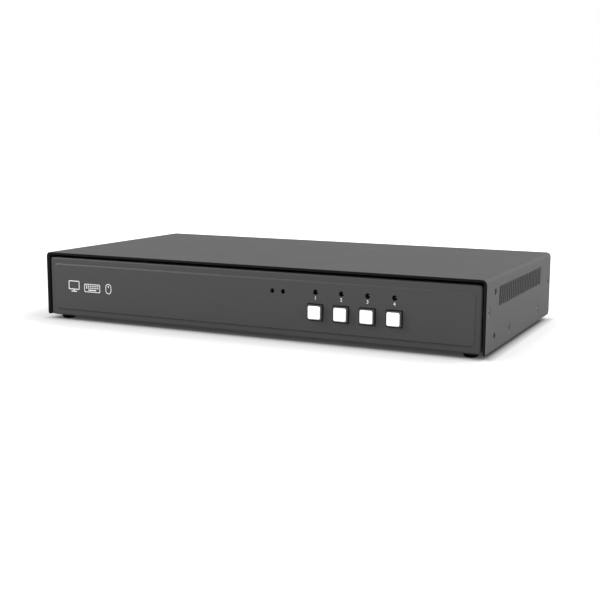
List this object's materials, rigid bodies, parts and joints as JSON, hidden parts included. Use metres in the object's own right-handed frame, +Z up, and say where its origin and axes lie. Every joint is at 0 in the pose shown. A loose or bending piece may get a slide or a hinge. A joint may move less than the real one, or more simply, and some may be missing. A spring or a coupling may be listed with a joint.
{
  "type": "kvm switch",
  "caption": "Low rectangular desktop switch box with a folded cover, side vents, square push buttons with indicator lights and a rear connector panel.",
  "frame": {"origin": "on the standing surface, under the middle of the whole object's box", "axes": "+Z up, the front panel faces -Y, +X to the right as seen from the front"},
  "size_m": [0.308, 0.1626, 0.046],
  "materials": {
    "grey_paint": "satin dark grey powder coat with a fine grain",
    "panel_paint": "smooth matte dark grey paint",
    "dark_steel": "black powder coat",
    "bright_steel": "plain plated steel",
    "black_screw": "dark plated steel",
    "aluminium": "matte extruded",
    "rubber": "matte black",
    "white_plastic": "satin white moulding",
    "button_plastic": "satin dark grey moulding",
    "black_plastic": "matte black moulding",
    "led_plastic": "clear lens, unlit",
    "green_board": "solder-masked glass fibre board",
    "grey_cable": "grey ribbon cable"
  },
  "bodies": {
    "chassis": {"audio_input_1": "black_plastic", "audio_input_2": "black_plastic", "audio_input_3": "black_plastic", "audio_input_4": "black_plastic", "base_tray": "dark_steel", "board_screw_1": "bright_steel", "board_screw_2": "bright_steel", "board_screw_3": "bright_steel", "board_screw_4": "bright_steel", "console_audio_output": "black_plastic", "console_usb_a_stack": "bright_steel", "console_video_output": "bright_steel", "cover_screw_left_front": "black_screw", "cover_screw_left_mid_front": "black_screw", "cover_screw_left_mid_rear": "black_screw", "cover_screw_left_rear": "black_screw", "cover_screw_right_front": "black_screw", "cover_screw_right_mid_front": "black_screw", "cover_screw_right_mid_rear": "black_screw", "cover_screw_right_rear": "black_screw", "foot_front_left": "rubber", "foot_front_right": "rubber", "foot_rear_left": "rubber", "foot_rear_right": "rubber", "front_board": "green_board", "front_board_screw_1": "bright_steel", "front_board_screw_2": "bright_steel", "front_panel": "panel_paint", "heat_sink": "aluminium", "main_board": "green_board", "port_led_1": "led_plastic", "port_led_2": "led_plastic", "port_led_3": "led_plastic", "port_led_4": "led_plastic", "power_jack": "black_plastic", "push_switch_1": "black_plastic", "push_switch_2": "black_plastic", "push_switch_3": "black_plastic", "push_switch_4": "black_plastic", "rear_panel": "dark_steel", "ribbon_cable": "grey_cable", "status_led_1": "led_plastic", "status_led_2": "led_plastic", "top_cover": "grey_paint", "usb_b_socket_1": "bright_steel", "usb_b_socket_2": "bright_steel", "usb_b_socket_3": "bright_steel", "usb_b_socket_4": "bright_steel", "video_input_1": "bright_steel", "video_input_2": "bright_steel", "video_input_3": "bright_steel", "video_input_4": "bright_steel"},
    "button_1": {"button_body_1": "button_plastic", "button_cap_1": "white_plastic"},
    "button_2": {"button_body_2": "button_plastic", "button_cap_2": "white_plastic"},
    "button_3": {"button_body_3": "button_plastic", "button_cap_3": "white_plastic"},
    "button_4": {"button_body_4": "button_plastic", "button_cap_4": "white_plastic"}
  },
  "joints": [
    {"name": "button_1_press", "type": "slide", "parent": "chassis", "child": "button_1", "axis": [0, 1, 0], "range_m": [0, 0.0015], "stiffness_N_per_m": 500, "springref_m": -0.0008},
    {"name": "button_2_press", "type": "slide", "parent": "chassis", "child": "button_2", "axis": [0, 1, 0], "range_m": [0, 0.0015], "stiffness_N_per_m": 500, "springref_m": -0.0008},
    {"name": "button_3_press", "type": "slide", "parent": "chassis", "child": "button_3", "axis": [0, 1, 0], "range_m": [0, 0.0015], "stiffness_N_per_m": 500, "springref_m": -0.0008},
    {"name": "button_4_press", "type": "slide", "parent": "chassis", "child": "button_4", "axis": [0, 1, 0], "range_m": [0, 0.0015], "stiffness_N_per_m": 500, "springref_m": -0.0008}
  ]
}
